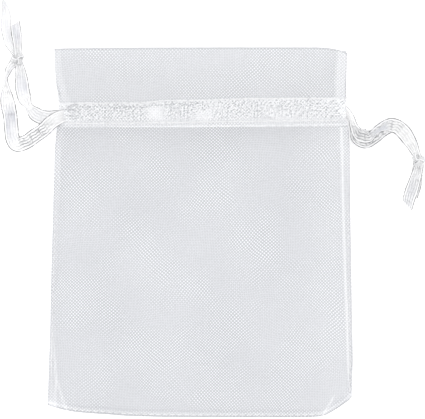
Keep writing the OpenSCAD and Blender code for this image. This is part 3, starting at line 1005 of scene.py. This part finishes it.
def neck_face(name, up):
    """The front or back of the neck in one piece, with the exit gaps left open at its sides."""
    seed = 2.0 if up > 0 else 8.0
    grid = []
    for s in neck_columns():
        x_mid = ring_place(s, 50.0, 0.1, up)[0]
        mouth = between(MOUTH_LINE, x_mid)
        column = outer_ply(s, x_mid, mouth, up, seed)
        x, _, z = column[-1][0]
        column += mouth_fold(x, z, mouth, up) + inner_ply(s, x_mid, mouth, up, seed)
        grid.append(column)

    def place(j, i):
        return grid[i][j]

    def gap(j, i):
        """The exit gaps' faces, between the stitch rows at the neck's sides."""
        x = grid[i][j][0][0]
        return START_ROWS <= j < (21 if x < 0 else 24) and (x < -GAP_LEFT or x > GAP_RIGHT)

    material = FRONT_CLOTH if up > 0 else BACK_CLOTH
    return grid_piece(name, len(grid[0]), len(grid), place, material, gap)


def gather(obj):
    """Gives the piece its own copy of its mesh."""
    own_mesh(obj)


def make_neck():
    front = attach(neck_face("front_neck_cloth", 1), "pouch", "front_neck", "front_hem")
    gather(front)
    back = attach(neck_face("back_neck_cloth", -1), "pouch", "back_neck", "back_hem")
    gather(back)


make_neck()

# ---- ribbons in the casing


def casing_path(side, turn_y, depth):
    """A ribbon's middle line in the casing as (x, z): along the front, round the far side and back."""
    reach = abs(side_x(-side, turn_y - BOTTOM_Y)) - STRAND_START - depth - 0.2
    rise = NECK_RZ - depth - 0.1
    straight = [side * (STRAND_START - 2 * STRAND_START * k / 120) for k in range(121)]
    points = [(x, MID_Z + rise) for x in straight]
    for k in range(1, 14):
        a = math.pi / 2 - math.pi * k / 14
        points.append((-side * (STRAND_START + reach * math.cos(a)), MID_Z + rise * math.sin(a)))
    return points + [(x, MID_Z - rise) for x in reversed(straight)]


def casing_ribbon(name, side, centre_y, turn_y, depth, seed):
    """A ribbon's length inside the casing, depth mm within its cloth. It runs at centre_y, and narrows
    before its turn, at turn_y, so that the other ribbon can pass it."""
    columns, full_width, turn_width = 19, 3.6, 1.4
    path = casing_path(side, turn_y, depth)
    lengths = running_lengths(path)

    def place(k, i):
        x, z = path[k]
        u = i / (columns - 1)
        narrow = smooth((-side * x - 34) / 6)
        centre = (centre_y + 0.007 * x) * (1 - narrow) + turn_y * narrow
        width = full_width + (turn_width - full_width) * narrow
        lift = 0.035 * math.cos(u * math.pi * 6) + 0.05 * wave(lengths[k] * 0.3, u * 2, seed)
        # painted shade on the ribbon seen through the casing
        grey = 0.2 + 0.3 * wave(lengths[k] * 0.09, u * 1.2, seed + 4)
        return (x, centre + (u - 0.5) * width, z + lift), (u, lengths[k] + seed * 7), grey, 0.8

    return grid_piece(name, len(path), columns, place, CASED_RIBBON)


def make_casing_ribbons():
    for word, measures in (("left", (-1, 38.85, 38.25, 0.4, 11.0)), ("right", (1, 40.85, 41.6, 0.8, 17.0))):
        ribbon = casing_ribbon(f"{word}_casing_ribbon", *measures)
        attach(ribbon, f"{word}_drawstring", f"{word}_ribbon_loop")


make_casing_ribbons()

# ---- threads


def stitch_lines(row, up):
    """Stitches along a casing row, each a short arc that dips into the cloth at both ends."""
    half_span, stitch, gap = 43.0, 1.75, 0.22
    rng = random.Random(int(row[0][1] * 10) + up)
    lines = []
    x = -half_span
    while x < half_span:
        long = stitch + rng.uniform(-0.15, 0.15)
        points = []
        for k in range(6):
            t = k / 5
            px = x + long * t
            py = row_y(row, px) + rng.uniform(-0.05, 0.05)
            pz = MID_Z + up * (NECK_RZ - 0.46 + 0.3 * math.sin(math.pi * t) ** 0.6)
            points.append((px, py, pz))
        lines.append(points)
        x += long + gap + rng.uniform(-0.08, 0.08)
    return lines


def edge_lines(place, start, stop):
    """A raw edge's outermost thread, as one long line of points."""
    spacing = 0.7
    count = int(abs(stop - start) / spacing)
    return [[place(start + (stop - start) * k / count) for k in range(count + 1)]]


def make_casing_threads():
    for place, up in (("front", 1), ("back", -1)):
        for level, row in (("lower", LOWER_ROW), ("upper", UPPER_ROW)):
            obj = threads_object(f"{place}_{level}_thread", stitch_lines(row, up), 0.19)
            dress(obj, THREAD)
            attach(obj, "pouch", f"{place}_{level}_stitches")
            gather(obj)


def make_hem_edges():
    for name, up in (("front_hem_edge", 1), ("back_hem_edge", -1)):
        def place(x):
            z = MID_Z + up * (NECK_RZ - 1.22)
            return x, hem_edge_y(x) - 0.08 + 0.05 * wave(x * 1.5, 1.0, 6), z
        obj = threads_object(name, edge_lines(place, -44, 45), 0.14)
        dress(obj, EDGE_THREAD)
        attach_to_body(obj, "pouch")
        gather(obj)


make_casing_threads()
make_hem_edges()

# ---- seams


def allowance(name, rows, columns, place, second=None):
    """A seam's turned-in edge, where place(j, i) gives a point, its cloth coordinate and its tone. second
    says how far above a second ply lies, and how far its weave is shifted in x and y, in mm."""
    points = [place(j, i) for j in range(rows) for i in range(columns)]
    verts, uvs, tones = (list(part) for part in zip(*points))
    faces = grid_faces(rows, columns)
    if second:
        base = len(verts)
        verts += [(x, y, z + second[0]) for x, y, z in verts]
        uvs += [(u + second[1], v + second[2]) for u, v in uvs]
        tones += tones
        faces += [tuple(n + base for n in face) for face in faces]
    return dress(mesh_object(name, verts, faces, uvs, tones), ALLOWANCE_CLOTH)


def seam_stitches(place, start, stop, length, pitch):
    """Stitches one pitch apart. place(at, bow) gives a point, where bow is 0 at both ends of a stitch."""
    lines = []
    at = start
    while at < stop:
        lines.append([place(at + length * k / 3, math.sin(math.pi * k / 3)) for k in range(4)])
        at += pitch
    return lines


def cut_line(side):
    return LEFT_CUT if side < 0 else RIGHT_CUT


def cut_x(side, h):
    """Where the cut edge inside a side seam is, with its small unevenness."""
    return between(cut_line(side), h) + 0.12 * wave(h * 0.3, side, 5)


def side_strip(name, side):
    """Two plies along the inside of a side seam."""
    rows, columns = 150, 7
    start, stop = cut_line(side)[0][0], 94.6

    def place(j, i):
        h = start + (stop - start) * j / (rows - 1)
        t = i / (columns - 1)
        edge = side_x(side, h) - side * 0.25
        x = edge + (cut_x(side, h) - edge) * t
        z = SEAM_Z + 0.02 + shoulder_lift(h) + 0.1 * t + 0.05 * wave(h * 0.25, t, 3)
        return (x, BOTTOM_Y + h, z), (x + 5, h), 0.4 * t ** 8

    return allowance(name, rows, columns, place, (0.14, 9.3, 4.1))


def cut_edge(name, side):
    """The outermost thread of that strip's cut edge."""
    def place(h):
        return cut_x(side, h) + 0.05 * wave(h * 1.4, 2.0, 3), BOTTOM_Y + h, 0.86 + shoulder_lift(h)

    lines = edge_lines(place, cut_line(side)[0][0], 94.4)
    return dress(threads_object(name, lines, 0.17 if side > 0 else 0.11), EDGE_THREAD)


def side_thread(name, side):
    """The side seam's stitches, close to the edge."""
    def place(h, bow):
        return side_x(side, h) - side * 0.75, BOTTOM_Y + h, 0.95 + shoulder_lift(h) + 0.06 * bow

    lines = seam_stitches(place, cut_line(side)[0][0] + 0.5, 93, 1.7, 2.5)
    return dress(threads_object(name, lines, 0.08), THREAD)


def make_side_seams():
    for side, word in ((-1, "left"), (1, "right")):
        strip = side_strip(f"{word}_seam_allowance", side)
        blend_with_neck(strip)
        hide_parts(f"{word}_side_allowance")
        blend_with_neck(cut_edge(f"{word}_cut_edge", side))
        thread = side_thread(f"{word}_seam_thread", side)
        blend_with_neck(thread)
        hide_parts(f"{word}_side_stitches")


def bottom_strip():
    """One ply along the inside of the bottom seam."""
    rows, columns = 5, 110
    start, length, width = -44, 84, 1.9

    def place(j, i):
        x = start + length * i / (columns - 1)
        h = between(BOTTOM_LINE, x) + 0.25 + width * j / (rows - 1)
        point = (x, BOTTOM_Y + h, 0.42 + 0.06 * wave(x * 0.3, j, 2))
        return point, (x + 3, h + 2), 0.3 if j == rows - 1 else 0.0

    return allowance("bottom_seam_allowance", rows, columns, place)


def bottom_thread():
    def place(x, bow):
        return x, BOTTOM_Y + between(BOTTOM_LINE, x) + 0.75, 1.0 + 0.1 * bow

    lines = seam_stitches(place, -47.0, 39, 1.9, 2.3)
    return dress(threads_object("bottom_seam_thread", lines, 0.13), THREAD)


def make_bottom_seam():
    attach(bottom_strip(), "pouch", "bottom_allowance")
    attach(bottom_thread(), "pouch", "bottom_stitches")


def header_strip(name, side):
    """Two plies along the inside of the side seam above an exit gap."""
    rows, columns = 30, 8
    start, stop = 44.6, 60.0
    width = 2.7 if side < 0 else 3.6

    def place(j, i):
        y = start + (stop - start) * j / (rows - 1)
        t = i / (columns - 1)
        x = side_x(side, y - BOTTOM_Y) - side * 0.35 - side * width * t
        return (x, y, MID_Z - 0.1 + 0.08 * wave(y * 0.4, t, side)), (x + 12, y), 0.35 * t ** 8

    return allowance(name, rows, columns, place, (0.2, 6.1, 2.7))


def backtacks(name, side):
    """Four stitches on top of one another over the neck's side, below and above an exit gap."""
    lines = []
    for y in (35.6, 43.9 if side < 0 else 44.7):
        edge = side_x(side, y - BOTTOM_Y)
        for k in range(4):
            yy = y + 0.16 * (k - 1.5)
            lines.append([
                (edge - side * 0.9, yy, MID_Z + 1.1), (edge - side * 0.1, yy, MID_Z + 0.7),
                (edge + side * 0.12, yy, MID_Z), (edge - side * 0.1, yy, MID_Z - 0.7),
                (edge - side * 0.9, yy, MID_Z - 1.1),
            ])
    return dress(threads_object(name, lines, 0.11), THREAD)


def make_header_seams():
    for side, word in ((-1, "left"), (1, "right")):
        body = f"{word}_neck_end"
        attach(header_strip(f"{word}_header_seam", side), body, f"{word}_header_allowance")
        tacks = attach(backtacks(f"{word}_exit_backtacks", side), body, f"{word}_exit_tacks")
        gather(tacks)


make_side_seams()
make_bottom_seam()
make_header_seams()

# ---- table top


def make_floor():
    """A square 3.2 m wide, just below the pouch."""
    half, steps, z = 1600.0, 8, -0.15
    places = [-half + 2 * half * k / steps for k in range(steps + 1)]
    verts = [(x, y, z) for y in places for x in places]
    floor = mesh_object("white_table_top", verts, grid_faces(steps + 1, steps + 1))
    floor.data.materials.append(floor_material())


make_floor()
